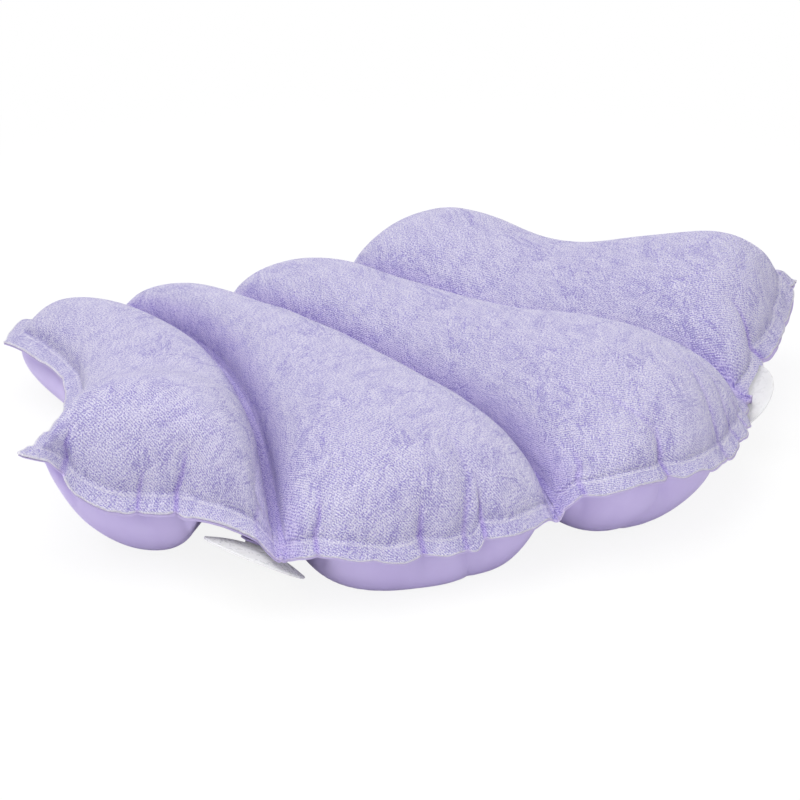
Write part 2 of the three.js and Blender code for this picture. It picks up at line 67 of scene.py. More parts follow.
# Each lobe: bow and weld height of its ends, where its waist lies, how far crest and belly lean
# to the right at rear and front, the crest above the weld and the belly's height at rear, waist and front,
# the fullness of its ends and belly, and how far the terry swells at a front ear
LOBES = (
    dict(front_bow=-.011, rear_bow=.0245, front_weld=.041, rear_weld=.032, waist=.5,
         lean=(-.45, .32), belly_lean=(0, .3), crest=(.023, .0225, .052), belly=(-.006, .006, -.009),
         front_full=4.8, rear_full=5, belly_full=4.2, ear_puff=.004),
    dict(front_bow=.0145, rear_bow=.0185, front_weld=.031, rear_weld=.031, waist=.49,
         lean=(-.16, .01), belly_lean=(0, 0), crest=(.0255, .033, .043), belly=(-.01, .006, -.022),
         front_full=5.1, rear_full=3.5, belly_full=9, ear_puff=0),
    dict(front_bow=.0335, rear_bow=.0175, front_weld=.041, rear_weld=.03, waist=.43,
         lean=(-.05, .11), belly_lean=(0, -.18), crest=(.0305, .027, .04), belly=(-.01, .0053, -.014),
         front_full=5.1, rear_full=3.5, belly_full=6.8, ear_puff=0),
    dict(front_bow=.0065, rear_bow=.0175, front_weld=.043, rear_weld=.0325, waist=.44,
         lean=(0, .27), belly_lean=(0, 0), crest=(.0355, .0232, .0425), belly=(-.01, .006, -.006),
         front_full=4.9, rear_full=3.5, belly_full=6, ear_puff=.01),
)

# Roundness of the domes, of their bowed ends and of the belly's turn on to the floor
BELLY_WAIST = .5
FLOOR_TURN = .004
ROUND_ACROSS = .435
ROUND_ALONG = .463
BOW_SHARE = .95
BOW_ROUNDNESS = 2.3
BOW_FULLNESS = .75
BOW_POWER = 3
CREST_END_SHARE = .1
FOOT_EASE = .4
FOOT_EASE_LENGTH = .004

# Welded margins: the free flange hangs from the weld line and ruffles towards its cut edge
FLANGE = .009
SEAM_WELD = .0026
TERRY_THICKNESS = .0009
FILM_THICKNESS = .0005
FLANGE_DIP = math.radians(38)
SIDE_DIP = math.radians(5)
FLANGE_END_POWER = 10
RUFFLE = .0011
RUFFLE_LENGTH = .026
SMALL_RUFFLE_SHARE = .5
SMALL_RUFFLE_LENGTH = .012
RIB = .0002
RIB_LENGTH = .0045

# Free sides: the film's bulge, the flat ears, and the flange that hangs less over the left cup
FILM_BULGE = .009
BULGE_FULL_SHARE = .25
BULGE_SHARE = .75
EAR_FLAT = .014
EAR_SPREAD = .03
CUP_EASE = .5
CUP_EASE_FROM = .25

# Flat web of film under the ends of a side seam, and the bay that an outer lobe leaves for its cup
WEB = .012
WEB_SHARE = .22
CUP_BAY = .032
CUP_BAY_FULL_SHARE = .12
CUP_BAY_SHARE = .45

# Height of each lobe's front weld over its even sweep, at shares from left to right,
# and how far inwards that reaches
FRONT_LIFTS = (
    ((0, 0), (.12, .001), (.22, -.006), (.42, -.0045), (.56, .003), (.7, .0075), (.8, .0085),
     (.9, .0065), (1, -.001)),
    ((0, -.001), (.06, .003), (.2, .004), (.33, -.001), (.45, -.001), (.66, -.005), (.685, .001),
     (.95, 0), (1, -.006)),
    ((0, -.006), (.05, .005), (.18, .008), (.3, .004), (.42, 0), (.55, -.002), (.65, -.005),
     (.78, -.002), (1, 0)),
    ((0, 0), (1, 0)),
)
LIFT_REACH = .035
LIFT_SAMPLES = 201
LIFT_BLUR = 13

# Folds at each lobe's front weld: share along it at the lower and upper end, heights of both ends,
# depth and width
FRONT_FOLDS = (
    ((.166, .2, 0, .03, .0065, .0028), (.45, .475, 0, .02, .0045, .0024),
     (.588, .64, 0, .034, .0055, .0026), (.9, .985, 0, .07, .004, .004)),
    ((.127, .165, 0, .04, .005, .0026), (.473, .49, 0, .026, .0055, .0032),
     (.622, .685, 0, .042, .0045, .003), (.7, .69, 0, .032, .0055, .0024),
     (.663, .605, .03, .085, .002, .0035)),
    ((.103, .14, 0, .036, .005, .004), (.35, .392, 0, .034, .0055, .003),
     (.36, .19, .02, .09, .0024, .005), (.605, .686, 0, .085, .004, .0042),
     (.7, .77, 0, .06, .004, .0034), (.8, .83, 0, .05, .0045, .0032), (.9, .91, 0, .035, .0045, .0026)),
    ((.3, .3, 0, .045, .006, .0034), (.62, .62, 0, .04, .002, .004), (.88, .82, 0, .045, .0035, .0034)),
)
# A fold this deep gets the full painted shade in its crease, and CREASE_SPREAD sets how wide that shade is
DEEP_FOLD = .0055
FOLD_FADE = .01
FOLD_SHARP_SHARE = .6
FOLD_SPREAD = 3.5
CREASE_SPREAD = .6
GATHER_TURN = .012
GATHER_END_POWER = 12

# Small puckers along every free weld, and the terry's soft unevenness inside its margins
SMALL_PUCKER_SPACING = .017
SMALL_PUCKER_DEPTH = .0011
SMALL_PUCKER_REACH = .013
SMALL_PUCKER_WIDTH = .0026
UNEVEN = .0005
UNEVEN_LENGTH = .05
UNEVEN_MARGIN = .018

# Seeds of what is uneven, to which a lobe adds its number
RUFFLE_SEED = 40
SMALL_RUFFLE_SEED = 50
RIB_SEED = 60
UNEVEN_SEED = 70
PUCKER_SEED = 100

# Grids
DOME_COLUMNS = 201
DOME_ROWS = 181
MARGIN_LINES = 8
COLUMN_CROWDING = .55
GRID_PASSES = 4

# Opening in the film of the valve's lobe, under the valve's disc
VALVE_LOBE = 2
VALVE_OPENING = .0084

# Suction cup, about the axis of its joint, from the middle of its rim
CUP_RADIUS = .024
CUP_DEPTH = .004
CUP_WALL = .0014
CUP_RIM_FLAT = .0016
CUP_LIP = .0011
CUP_HUB_RADIUS = .0065
CUP_SHOULDER = .0064
CUP_NECK_RADIUS = .004
CUP_NECK_TOP = .0078
CUP_HEAD_RADIUS = .0056
CUP_HEAD_TOP = .0094
CUP_SEGMENTS = 96
CUP_CURVE_STEPS = 12
CUP_LIP_STEPS = 7
CUP_TIP_RADIUS = .0001
CUP_TIP_JOIN = .00025

# The lobes whose sheets stay fixed where they are built, each with the lobe nearer the middle
PARENT_LOBE = {0: 1, 2: 1, 3: 2}

# Looks of the terry: rows and loops, the lie of the pile, how much each adds to height or tone, and the shade
# painted beside the seams and along the folds' creases
ROW_PITCH = .00106
ROW_TURN = math.radians(38)
LOOPS_PER_METRE = 1650
PILE_TURN = math.radians(-28)
PILE_PATCH = .0044
PILE_SWELL = .03
CREASE_LENGTH = .016
ROW_HEIGHT = .5
CREASE_HEIGHT = -.42
PILE_TONE = .3
WELD_LINE = .0072
WELD_LINE_PALENESS = .32
CUT_EDGE_PALENESS = .7
# How strongly shade is painted into the terry beside the seams and along the folds' creases
SEAM_PAINTED_SHADE = .7
CREASE_PAINTED_SHADE = .85

# A wave texture of scale 1 repeats after this length
WAVE_LENGTH = 2 * math.pi / 20

# Light and view
CAMERA_AZIMUTH = math.radians(-32.4)
CAMERA_ELEVATION = math.radians(26)
CAMERA_DISTANCE = 1.455
CAMERA_TARGET = Vector((-.005, .0037, .03))
CAMERA_LENS = 135
CAMERA_SHIFT = (.0125, -.0231)
WORLD_STRENGTH = .68
FRONT_LAMP = dict(place=(-.5, -1, 1.2), size=1.4, energy=1.8)
TOP_LAMP = dict(place=(-.4, .1, 1.6), size=1.6, energy=21)
FLOOR_SIZE = 30
FLOOR_WHITE_SHARE = .88
FLOOR_SHADOW_RADIUS = .28
FLOOR_WHITE_RADIUS = .5


def seam_point(i, v):
    """Points of weld line i at shares v of its length, from rear to front."""
    seam = SEAMS[i]
    rear, front = np.array(seam["rear"]), np.array(seam["front"])
    middle = 4 * v * (1 - v)
    x = rear[0] + (front[0] - rear[0]) * v + seam["draw"] * middle * (1 + seam["skew"] * (2 * v - 1))
    y = rear[1] + (front[1] - rear[1]) * v
    z = rear[2] + (front[2] - rear[2]) * v ** seam["power"] + seam["rise"] * middle
    return np.stack([x, y, z], -1)


def smooth(x):
    """Goes from 0 to 1 with level ends."""
    x = np.clip(x, 0, 1)
    return x * x * (3 - 2 * x)


def mix(a, b, share):
    """Goes from a to b by a share."""
    return a + (b - a) * share


def through(rear, waist, front, at, v):
    """A height that is rear at v 0, waist at v = at and front at v 1."""
    behind = mix(rear, waist, smooth(v / at))
    ahead = mix(waist, front, smooth((v - at) / (1 - at)))
    return np.where(v < at, behind, ahead)


def rested(z):
    """Heights of a soft belly that the floor flattens, with a round turn from the wall to the floor."""
    z = (z + np.sqrt(z * z + FLOOR_TURN ** 2)) / 2
    return z - z.min()


def web_half(v):
    """Half width of the flat film under a side seam."""
    return SEAM_WELD + WEB * (1 - smooth(np.minimum(v, 1 - v) / WEB_SHARE))


def bay_half(v):
    """Width of the raised film beside a side seam's front end, under an outer lobe."""
    bay = CUP_BAY * (1 - smooth((1 - v - CUP_BAY_FULL_SHARE) / (CUP_BAY_SHARE - CUP_BAY_FULL_SHARE)))
    return np.maximum(web_half(v), bay)


def film_foot(i, right):
    """Where the film's dome starts beside the left or right weld line of lobe i."""
    if (i, right) in ((0, False), (3, True)):
        return lambda v: np.full(v.shape, FLANGE)
    if (i, right) in ((1, True), (2, False)):
        return lambda v: np.full(v.shape, SEAM_WELD)
    return bay_half if i in (0, 3) else web_half


def waves(p, length, seed, count=9):
    """Soft unevenness from about -1 to 1 over points p, with swells about so long."""
    rng = np.random.default_rng(seed)
    total = np.zeros(p.shape[:-1])
    for _ in range(count):
        direction = rng.normal(size=3)
        direction *= 2 * math.pi / length * rng.uniform(.6, 1.5) / np.linalg.norm(direction)
        total += np.sin(p @ direction + rng.uniform(0, 2 * math.pi))
    return total / math.sqrt(count * 2)


def unit(v):
    """Vectors brought to length 1."""
    return v / np.maximum(np.linalg.norm(v, axis=-1, keepdims=True), 1e-12)


def normals(p):
    """Unit normals of a grid of points, up where columns run to the right and rows to the front."""
    return unit(np.cross(np.gradient(p, axis=1), np.gradient(p, axis=0)))


def steps(p, axis):
    """Running length along one axis of a grid of points."""
    length = np.linalg.norm(np.diff(p, axis=axis), axis=-1).cumsum(axis)
    return np.insert(length, 0, 0, axis=axis)


class LobeForm:
    """The shape of lobe i over a grid of columns from left to right and rows from rear to front."""

    def __init__(self, i):
        self.i = i
        self.size = LOBES[i]
        ends = [seam_point(i + side, np.array(float(v))) for side in (0, 1) for v in (0, 1)]
        axis = (ends[1] + ends[3] - ends[0] - ends[2]) / 2
        axis[2] = 0
        self.length = np.linalg.norm(axis)
        self.axis = axis / self.length
        self.left_margin = FLANGE if i == 0 else SEAM_WELD
        self.right_margin = FLANGE if i == 3 else SEAM_WELD
        self.lay_grid()
        self.lay_weld()
        self.lift_front()
        self.hang_flange()
        self.swell()

    def lay_grid(self):
        """Grid lines follow the foot of the dome, and the margins outside it have lines of their own."""
        even = np.linspace(-1, 1, DOME_COLUMNS)
        inner = mix(even, np.sin(even * math.pi / 2), COLUMN_CROWDING)
        inner_rows = np.sin(np.linspace(-1, 1, DOME_ROWS) * math.pi / 2)
        margin = np.linspace(0, 1, MARGIN_LINES + 1)[1:]
        ones = np.ones(MARGIN_LINES)
        across = np.concatenate([-ones, inner, ones])
        out = np.concatenate([margin[::-1], np.zeros(DOME_COLUMNS), margin])
        along = np.concatenate([-ones, inner_rows, ones])
        out_rows = np.concatenate([margin[::-1], np.zeros(DOME_ROWS), margin])
        self.across, self.along = np.meshgrid(across, along, indexing="ij")
        self.out_across, self.out_along = np.meshgrid(out, out_rows, indexing="ij")
        s = self.across.copy()
        for _ in range(GRID_PASSES):
            foot = 1 - FLANGE / self.stretch(s, self.along)
            t = self.along * (foot + (1 - foot) * self.out_along)
            v = (t + 1) / 2
            width = np.linalg.norm(seam_point(self.i + 1, v) - seam_point(self.i, v), axis=-1)
            dome_width = width - self.left_margin - self.right_margin
            left = self.left_margin * (1 - self.out_across * (self.across < 0))
            right = self.right_margin * self.out_across * (self.across > 0)
            s = 2 * (left + dome_width * (self.across + 1) / 2 + right) / width - 1
        self.s, self.t, self.v, self.width = s, t, v, width

    def bow(self, s):
        """Share of the end's bow at a place across the lobe."""
        return np.clip(1 - (np.abs(s) / BOW_SHARE) ** BOW_ROUNDNESS, 0, 1) ** BOW_FULLNESS

    def reach(self, t):
        """How far the nearer end bows out."""
        return np.where(t > 0, self.size["front_bow"], self.size["rear_bow"])

    def stretch(self, s, t):
        """Length per unit of t near the end of the lobe."""
        return self.length / 2 + BOW_POWER * self.reach(t) * self.bow(s)

    def lay_weld(self):
        """The surface where the sheets are welded, and how far each point is from cut edge, seams and ear."""
        size, s, t, v = self.size, self.s, self.t, self.v
        left, right = seam_point(self.i, v), seam_point(self.i + 1, v)
        weld = mix(left, right, ((s + 1) / 2)[..., None])
        weld += self.axis * (self.bow(s) * self.reach(t) * t ** BOW_POWER)[..., None]
        middle = mix(size["rear_weld"], size["front_weld"], v)
        weld[..., 2] += (1 - s * s) * (middle - (left[..., 2] + right[..., 2]) / 2)
        self.weld = weld
        from_left, from_right = (s + 1) / 2 * self.width, (1 - s) / 2 * self.width
        side_cut = {0: from_left, 3: from_right}.get(self.i, np.full(s.shape, np.inf))
        self.cut = np.minimum(side_cut, (1 - np.abs(t)) * self.stretch(s, t))
        self.seam = {0: from_right, 3: from_left}.get(self.i, np.minimum(from_left, from_right))
        self.ear = np.hypot(side_cut, (1 - np.abs(t)) * self.length / 2)

    def lift_front(self):
        """Lifts and lowers the front weld along its length."""
        shares, lifts = zip(*FRONT_LIFTS[self.i])
        run = (self.s + 1) / 2
        even = np.linspace(0, 1, LIFT_SAMPLES)
        line = np.interp(even, shares, lifts)
        kernel = np.hanning(LIFT_BLUR) / np.hanning(LIFT_BLUR).sum()
        line = np.convolve(np.pad(line, LIFT_BLUR // 2, mode="edge"), kernel, "valid")
        inside = np.clip((1 - self.t) * self.stretch(self.s, self.t), 0, None)
        self.weld[..., 2] += np.interp(run, even, line) * (1 - smooth(inside / LIFT_REACH))

    def hang_flange(self):
        """Turns the free margins down about the weld line, with ruffles and ribs towards the cut edge."""
        low, high = MARGIN_LINES, -MARGIN_LINES - 1
        edges = [(1, low, range(low)), (1, high, range(high + 1, 0))]
        edges += [(0, low, range(low))] if self.i == 0 else []
        edges += [(0, high, range(high + 1, 0))] if self.i == 3 else []
        free = np.sqrt(np.clip(1 - np.abs(self.s) ** FLANGE_END_POWER, 0, 1))
        free = np.maximum(free, self.s * FREE_SIDE.get(self.i, 0) > 0)
        free = free * smooth((self.ear - EAR_FLAT) / EAR_FLAT)
        if self.i == 0:
            over_cup = smooth((self.s - CUP_EASE_FROM) / CUP_EASE_FROM) * (self.t > 0)
            free = free * (1 - CUP_EASE * over_cup)
        for axis, foot, lines in edges:
            start = np.take(self.weld, [foot], axis).copy()
            lines = [n % self.weld.shape[axis] for n in lines]
            outward = np.take(self.weld, lines, axis) - start
            far = np.linalg.norm(outward, axis=-1, keepdims=True)
            dip = (FLANGE_DIP if axis else SIDE_DIP) * np.take(free, lines, axis)[..., None]
            turned = start + outward * np.cos(dip) - np.array([0, 0, 1]) * far * np.sin(dip)
            index = [slice(None)] * 2
            index[axis] = lines
            self.weld[tuple(index)] = turned
        hang = np.clip(1 - self.cut / FLANGE, 0, 1) * free
        ruffle = waves(self.weld, RUFFLE_LENGTH, RUFFLE_SEED + self.i)
        ruffle += SMALL_RUFFLE_SHARE * waves(self.weld, SMALL_RUFFLE_LENGTH, SMALL_RUFFLE_SEED + self.i)
        ribs = np.maximum(0, waves(self.weld, RIB_LENGTH, RIB_SEED + self.i))
        self.weld[..., 2] += hang * (RUFFLE * ruffle + RIB * ribs)

    def swell(self):
        """How far the terry rises and how low the film hangs over the weld surface."""
        size, v = self.size, self.v
        share = np.clip((v - CREST_END_SHARE) / (1 - 2 * CREST_END_SHARE), 0, 1)
        full = np.where(self.t > 0, size["front_full"], size["rear_full"])
        ends = np.clip(1 - np.abs(self.along) ** full, 0, 1) ** ROUND_ALONG
        foot = np.clip(1 - np.abs(self.along), 0, 1) * self.length / 2
        ends = ends * (1 - FOOT_EASE * np.exp(-foot / FOOT_EASE_LENGTH))
        crest = through(*size["crest"], size["waist"], share)
        self.rise = crest * ends * self.dome(self.across, size["lean"])
        puff = np.exp(-(self.ear / EAR_SPREAD) ** 2) * smooth(self.cut / FLANGE) * (self.t > 0)
        self.rise += size["ear_puff"] * puff
        left, right = film_foot(self.i, False)(v), film_foot(self.i, True)(v)
        across = 2 * ((self.s + 1) / 2 * self.width - left) / (self.width - left - right) - 1
        belly = through(*size["belly"], BELLY_WAIST, share)
        full = np.where(self.t > 0, size["belly_full"], size["rear_full"])
        ends = np.clip(1 - np.abs(self.along) ** full, 0, 1) ** ROUND_ALONG
        share = ends * self.dome(np.clip(across, -1, 1), size["belly_lean"])
        self.low = mix(self.weld[..., 2] - TERRY_THICKNESS, belly, share)
        outward = FREE_SIDE.get(self.i, 0)
        side = smooth(2 * np.clip(outward * across, 0, 1))
        rear = 1 - smooth((v - BULGE_FULL_SHARE) / (BULGE_SHARE - BULGE_FULL_SHARE))
        self.bulge = FILM_BULGE * 4 * share * (1 - share) * side * rear * outward

    def dome(self, across, lean):
        """Share of a leaning dome's height at places across it."""
        tilt = mix(*lean, self.v)
        leaning = np.clip(across - tilt * (1 - across ** 2), -1, 1)
        return np.clip(1 - leaning ** 2, 0, 1) ** ROUND_ACROSS

    def inner(self):
        """0 on the welded margins, 1 well inside the dome."""
        from_side = (1 - np.abs(self.across)) * self.width / 2
        from_end = (1 - np.abs(self.along)) * self.length / 2
        return smooth(np.minimum(from_side, from_end) / UNEVEN_MARGIN)


def folds_depth(place, height, folds, length):
    """Depth of folds at shares along a weld and heights over it, and how near each place is to a crease,
    which sets the shade painted there.
    """
    total, crease = np.zeros(place.shape), np.zeros(place.shape)
    for low, high, start, end, depth, width in folds:
        up = (height - start) / (end - start)
        aside = np.abs(place - mix(low, high, np.clip(up, 0, 1))) * length
        fade = np.clip(1 - np.maximum(up, 0) ** 2, 0, 1) ** 2
        if start > 0:
            fade = fade * np.exp(-(np.minimum(up, 0) * (end - start) / FOLD_FADE) ** 2)
        sharp = FOLD_SHARP_SHARE * np.exp(-aside / width)
        soft = (1 - FOLD_SHARP_SHARE) * np.exp(-(aside / width / FOLD_SPREAD) ** 2)
        total += depth * fade * (sharp + soft)
        # Nearness to the crease, for the shade painted there
        near = np.exp(-(aside / width / CREASE_SPREAD) ** 2)
        crease = np.maximum(crease, depth / DEEP_FOLD * fade * near)
    return total, crease


def small_puckers(length, seed):
    """Small puckers in an uneven row along a weld of that length."""
    rng = np.random.default_rng(seed)
    count = max(2, int(length / SMALL_PUCKER_SPACING))
    out = []
    for k in range(count):
        at = (k + rng.uniform(.15, .85)) / count
        scale = rng.uniform(.35, 1.2)
        slant = rng.uniform(-.5, .5) * SMALL_PUCKER_REACH / length
        reach = SMALL_PUCKER_REACH * scale * rng.uniform(.7, 1.5)
        width = SMALL_PUCKER_WIDTH * rng.uniform(.5, 1)
        out.append((at, at + slant, 0, reach, SMALL_PUCKER_DEPTH * scale, width))
    return out


def gathered(form, sheet, facing):
    """The sheet with folds and puckers drawn in at its welded ends and any free side, and how near each place
    is to a crease, which sets the shade painted there.
    """
    ends = [(1, MARGIN_LINES, 1), (1, -MARGIN_LINES - 1, -1)]
    ends += [(0, MARGIN_LINES, 1)] if form.i == 0 else []
    ends += [(0, -MARGIN_LINES - 1, -1)] if form.i == 3 else []
    normal = normals(sheet) * facing
    moved = sheet.copy()
    creases = np.zeros(sheet.shape[:2])
    for number, (axis, foot, sign) in enumerate(ends):
        line = np.take(sheet, foot, axis)
        run = np.insert(np.linalg.norm(np.diff(line, axis=0), axis=-1).cumsum(), 0, 0)
        length = run[-1]
        place = np.expand_dims(run / length, axis) * np.ones(sheet.shape[:2])
        height = steps(sheet, axis)
        height = (height - np.take(height, [foot % sheet.shape[axis]], axis)) * sign
        rows = small_puckers(length, PUCKER_SEED + 10 * form.i + number)
        if axis == 1 and sign < 0:
            rows = [*rows, *FRONT_FOLDS[form.i]]
        depth, crease = folds_depth(place, height, rows, length)
        beyond = np.take(sheet, -1 if sign < 0 else 0, axis) - line
        beyond[..., 2] = 0
        outward = np.expand_dims(unit(beyond), axis) * np.ones(sheet.shape)
        direction = unit(mix(outward, normal, smooth(height / GATHER_TURN)[..., None]))
        corner = np.clip(1 - np.abs(form.s if axis == 1 else form.t) ** GATHER_END_POWER, 0, 1)
        moved -= direction * (depth * corner)[..., None]
        creases = np.maximum(creases, crease * corner)
    return moved, creases


def round_opening(points, faces, centre, radius):
    """Makes a round opening in two equal grids: the first grid's faces around it, and its edges there."""
    offset = points[:, :2] - centre
    far = np.linalg.norm(offset, axis=1)
    inside = (far[faces] < radius).any(axis=1)
    edges = np.concatenate([np.roll(faces[inside], -k, axis=1)[:, :2] for k in range(4)]).tolist()
    both = {tuple(edge) for edge in edges}
    border = np.array([edge for edge in edges if (edge[1], edge[0]) not in both])
    ring = np.unique(border)
    ring = np.concatenate([ring, ring + len(points) // 2])
    points[ring, :2] = centre + offset[ring] / far[ring][:, None] * radius
    return faces[~inside], border


def shell(name, outer, thickness, attributes, opening=None):
    """A closed mesh object: the grid outer, the same grid set in by thickness, the rim and any opening."""
    columns, rows = outer.shape[:2]
    inner = outer - normals(outer) * thickness
    points = np.concatenate([outer.reshape(-1, 3), inner.reshape(-1, 3)])
    index = np.arange(columns * rows).reshape(columns, rows)
    a, b, c, d = index[:-1, :-1], index[:-1, 1:], index[1:, 1:], index[1:, :-1]
    up = np.stack([a, b, c, d], -1).reshape(-1, 4)
    walls = np.zeros((0, 4), int)
    if opening:
        up, border = round_opening(points, up, *opening)
        walls = np.concatenate([border, border[:, ::-1] + columns * rows], axis=1)
    down = up[:, ::-1] + columns * rows
    loop = np.concatenate([index[0, :], index[1:, -1], index[-1, -2::-1], index[-2:0:-1, 0]])
    after = np.roll(loop, -1)
    rim = np.stack([after, loop, loop + columns * rows, after + columns * rows], -1)
    used, faces = np.unique(np.concatenate([up, down, rim, walls]), return_inverse=True)
    obj = mesh_object(name, points[used], faces.reshape(-1, 4))
    for key, value in attributes.items():
        layer = obj.data.attributes.new(key, "FLOAT", "POINT")
        layer.data.foreach_set("value", np.tile(value.ravel(), 2)[used].astype(np.float32))
    return obj


def mesh_object(name, points, faces):
    """A smooth mesh object of four-sided faces."""
    mesh = bpy.data.meshes.new(name)
    mesh.vertices.add(len(points))
    mesh.vertices.foreach_set("co", points.astype(np.float32).ravel())
    mesh.loops.add(faces.size)
    mesh.loops.foreach_set("vertex_index", faces.ravel().astype(np.int32))
    mesh.polygons.add(len(faces))
    mesh.polygons.foreach_set("loop_start", np.arange(0, faces.size, 4, dtype=np.int32))
    mesh.polygons.foreach_set("use_smooth", np.ones(len(faces), bool))
    mesh.update(calc_edges=True)
    mesh.validate()
    obj = bpy.data.objects.new(name, mesh)
    bpy.context.scene.collection.objects.link(obj)
    return obj


def make_terry(form, material):
    """The terry sheet of one lobe, with the lengths across and along that its rows and loops follow."""
    top = form.weld.copy()
    top[..., 2] += form.rise
    top += normals(top) * (UNEVEN * form.inner() * waves(top, UNEVEN_LENGTH, UNEVEN_SEED + form.i))[..., None]
    across, along = steps(top, 0), steps(top, 1)
    across -= across[len(across) // 2]
    along -= along[:, along.shape[1] // 2][:, None]
    top, crease = gathered(form, top, 1)
    # The seam and crease marks set where shade is painted into the terry's colour
    marks = dict(cut=form.cut, seam=form.seam, across=across, along=along, crease=crease)
    obj = shell("terry_" + SIDES[form.i], top, TERRY_THICKNESS, marks)
    obj.data.materials.append(material)
    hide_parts("terry_panel_" + SIDES[form.i])
    return obj


def valve_opening():
    """Middle and radius of the film's round opening for the valve's collar."""
    disc = frame["nodes"]["valve_flange"]
    corners = np.array([disc.matrix_world @ Vector(corner) for corner in disc.bound_box])
    return corners.mean(0)[:2], VALVE_OPENING


def make_film(form, material):
    """The film sheet of one lobe, on every second grid line, with columns reversed so that it faces down."""
    bottom = form.weld.copy()
    bottom[..., 2] = form.low
    bottom[..., 0] += form.bulge
    bottom = gathered(form, bottom, -1)[0]
    bottom[..., 2] = rested(bottom[..., 2])
    coarse = (slice(None, None, -2), slice(None, None, 2))
    opening = valve_opening() if form.i == VALVE_LOBE else None
    obj = shell("film_" + SIDES[form.i], bottom[coarse], FILM_THICKNESS, {}, opening)
    obj.data.materials.append(material)
    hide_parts("film_panel_" + SIDES[form.i])
    return obj


def cup_profile():
    """Half section of a cup, as radius and height, from its hollow round the lip to its head."""
    hollow = CUP_RADIUS - CUP_RIM_FLAT
    half_lip = CUP_LIP / 2

    def dish(radius):
        return CUP_DEPTH * (1 - (radius / hollow) ** 2)

    inside = [(r, dish(r)) for r in np.linspace(CUP_TIP_RADIUS, hollow, CUP_CURVE_STEPS)]
    lip = [(CUP_RADIUS - half_lip + half_lip * math.cos(a), half_lip + half_lip * math.sin(a))
           for a in np.linspace(-math.pi / 2, math.pi / 2, CUP_LIP_STEPS)]
    back = [(r, CUP_WALL + dish(r)) for r in np.linspace(hollow, CUP_HUB_RADIUS, CUP_CURVE_STEPS)]
    head = [(CUP_HUB_RADIUS, CUP_SHOULDER), (CUP_NECK_RADIUS, CUP_SHOULDER), (CUP_NECK_RADIUS, CUP_NECK_TOP),
            (CUP_HEAD_RADIUS, CUP_NECK_TOP), (CUP_HEAD_RADIUS, (CUP_NECK_TOP + CUP_HEAD_TOP) / 2),
            (CUP_NECK_RADIUS, CUP_HEAD_TOP), (CUP_TIP_RADIUS, CUP_HEAD_TOP)]
    return np.array(inside + lip + back + head)


def make_cup(word, material):
    """A smooth suction cup about the axis of its joint."""
    joint = next(j for j in frame["joints"] if j["name"] == "cup_turn_" + word)
    profile = cup_profile()
    z = np.array(joint["axis"])
    x = unit(np.cross(z, (0, 1, 0)))
    y = np.cross(z, x)
    turn = np.linspace(0, 2 * math.pi, CUP_SEGMENTS, endpoint=False)
    radial = np.cos(turn)[:, None] * x + np.sin(turn)[:, None] * y
    points = np.array(joint["pos_m"]) + radial[:, None] * profile[None, :, :1] + z * profile[None, :, 1:]
    index = np.arange(points[..., 0].size).reshape(points.shape[:2])
    after = np.roll(index, -1, 0)
    faces = np.stack([index[:, :-1], after[:, :-1], after[:, 1:], index[:, 1:]], -1).reshape(-1, 4)
    obj = mesh_object("cup_" + word, points.reshape(-1, 3), faces)
    close_tips(obj)
    obj.data.materials.append(material)
    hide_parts("suction_cup_" + word)
    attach(obj, "suction_cup_" + word)


def close_tips(obj):
    """Joins the points of a turned mesh that meet on its axis."""
    work = bmesh.new()
    work.from_mesh(obj.data)
    bmesh.ops.remove_doubles(work, verts=work.verts, dist=CUP_TIP_JOIN)
    bmesh.ops.recalc_face_normals(work, faces=work.faces)
    work.to_mesh(obj.data)
    work.free()


def fold(obj, number):
    """Lets a lobe's sheet ride on its body, or else leaves it fixed where it was built."""
    names = ["lobe_" + side for side in SIDES]
    if number not in PARENT_LOBE:
        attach(obj, names[number])
        return
    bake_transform(obj)


def srgb(r, g, b):
    """A colour as written on screen, as the linear values that shaders take."""
    def line(x):
        x /= 255
        return x / 12.92 if x <= .04045 else ((x + .055) / 1.055) ** 2.4
    return (line(r), line(g), line(b), 1)


# Colours, and how far light spreads inside the cups' vinyl
TERRY_DARK = srgb(157, 147, 212)
TERRY_LIGHT = srgb(234, 230, 251)
TERRY_PALE = srgb(250, 247, 255)
# Tint multiplied into the terry as painted shade beside the seams and along the folds' creases
TERRY_PAINTED_SHADE = srgb(228, 212, 255)
FILM_DEEP = srgb(188, 174, 220)
FILM_LIGHT = srgb(193, 180, 224)
CUP_COLOUR = srgb(197, 197, 198)
VALVE_COLOUR = srgb(228, 226, 234)
VINYL_PALE = srgb(224, 224, 226)
CUP_SCATTER = .7
SCATTER_RADIUS = (.012, .012, .012)


def new_material(name):
    """A node material with its nodes, links and main shader."""
    material = bpy.data.materials.new(name)
    material.use_nodes = True
    nodes = material.node_tree.nodes
    return material, nodes, material.node_tree.links, nodes["Principled BSDF"]


def node(nodes, kind, label="", **settings):
    """A new shader node with its settings and, by socket name or number, its input values."""
    made = nodes.new(kind)
    made.label = label
    for key, value in settings.pop("inputs", {}).items():
        made.inputs[key].default_value = value
    for key, value in settings.items():
        setattr(made, key, value)
    return made


def attribute(nodes, name):
    """A mesh's own value at each point."""
    return node(nodes, "ShaderNodeAttribute", name, attribute_name=name).outputs["Fac"]


def feed(links, slot, value):
    """Links an input to a socket, or sets it to a plain number or colour."""
    if isinstance(value, bpy.types.NodeSocket):
        links.new(value, slot)
    else:
        slot.default_value = value


def math_node(nodes, links, operation, *values):
    """The output of a Math node over sockets or plain numbers."""
    made = node(nodes, "ShaderNodeMath", operation=operation)
    for slot, value in zip(made.inputs, values):
        feed(links, slot, value)
    return made.outputs[0]


def band(nodes, links, value, low, high, from_value, to_value):
    """Maps value from low..high to from_value..to_value, held level outside."""
    made = node(nodes, "ShaderNodeMapRange", interpolation_type="SMOOTHSTEP",
                inputs={"From Min": low, "From Max": high, "To Min": from_value, "To Max": to_value})
    links.new(value, made.inputs["Value"])
    return made.outputs["Result"]


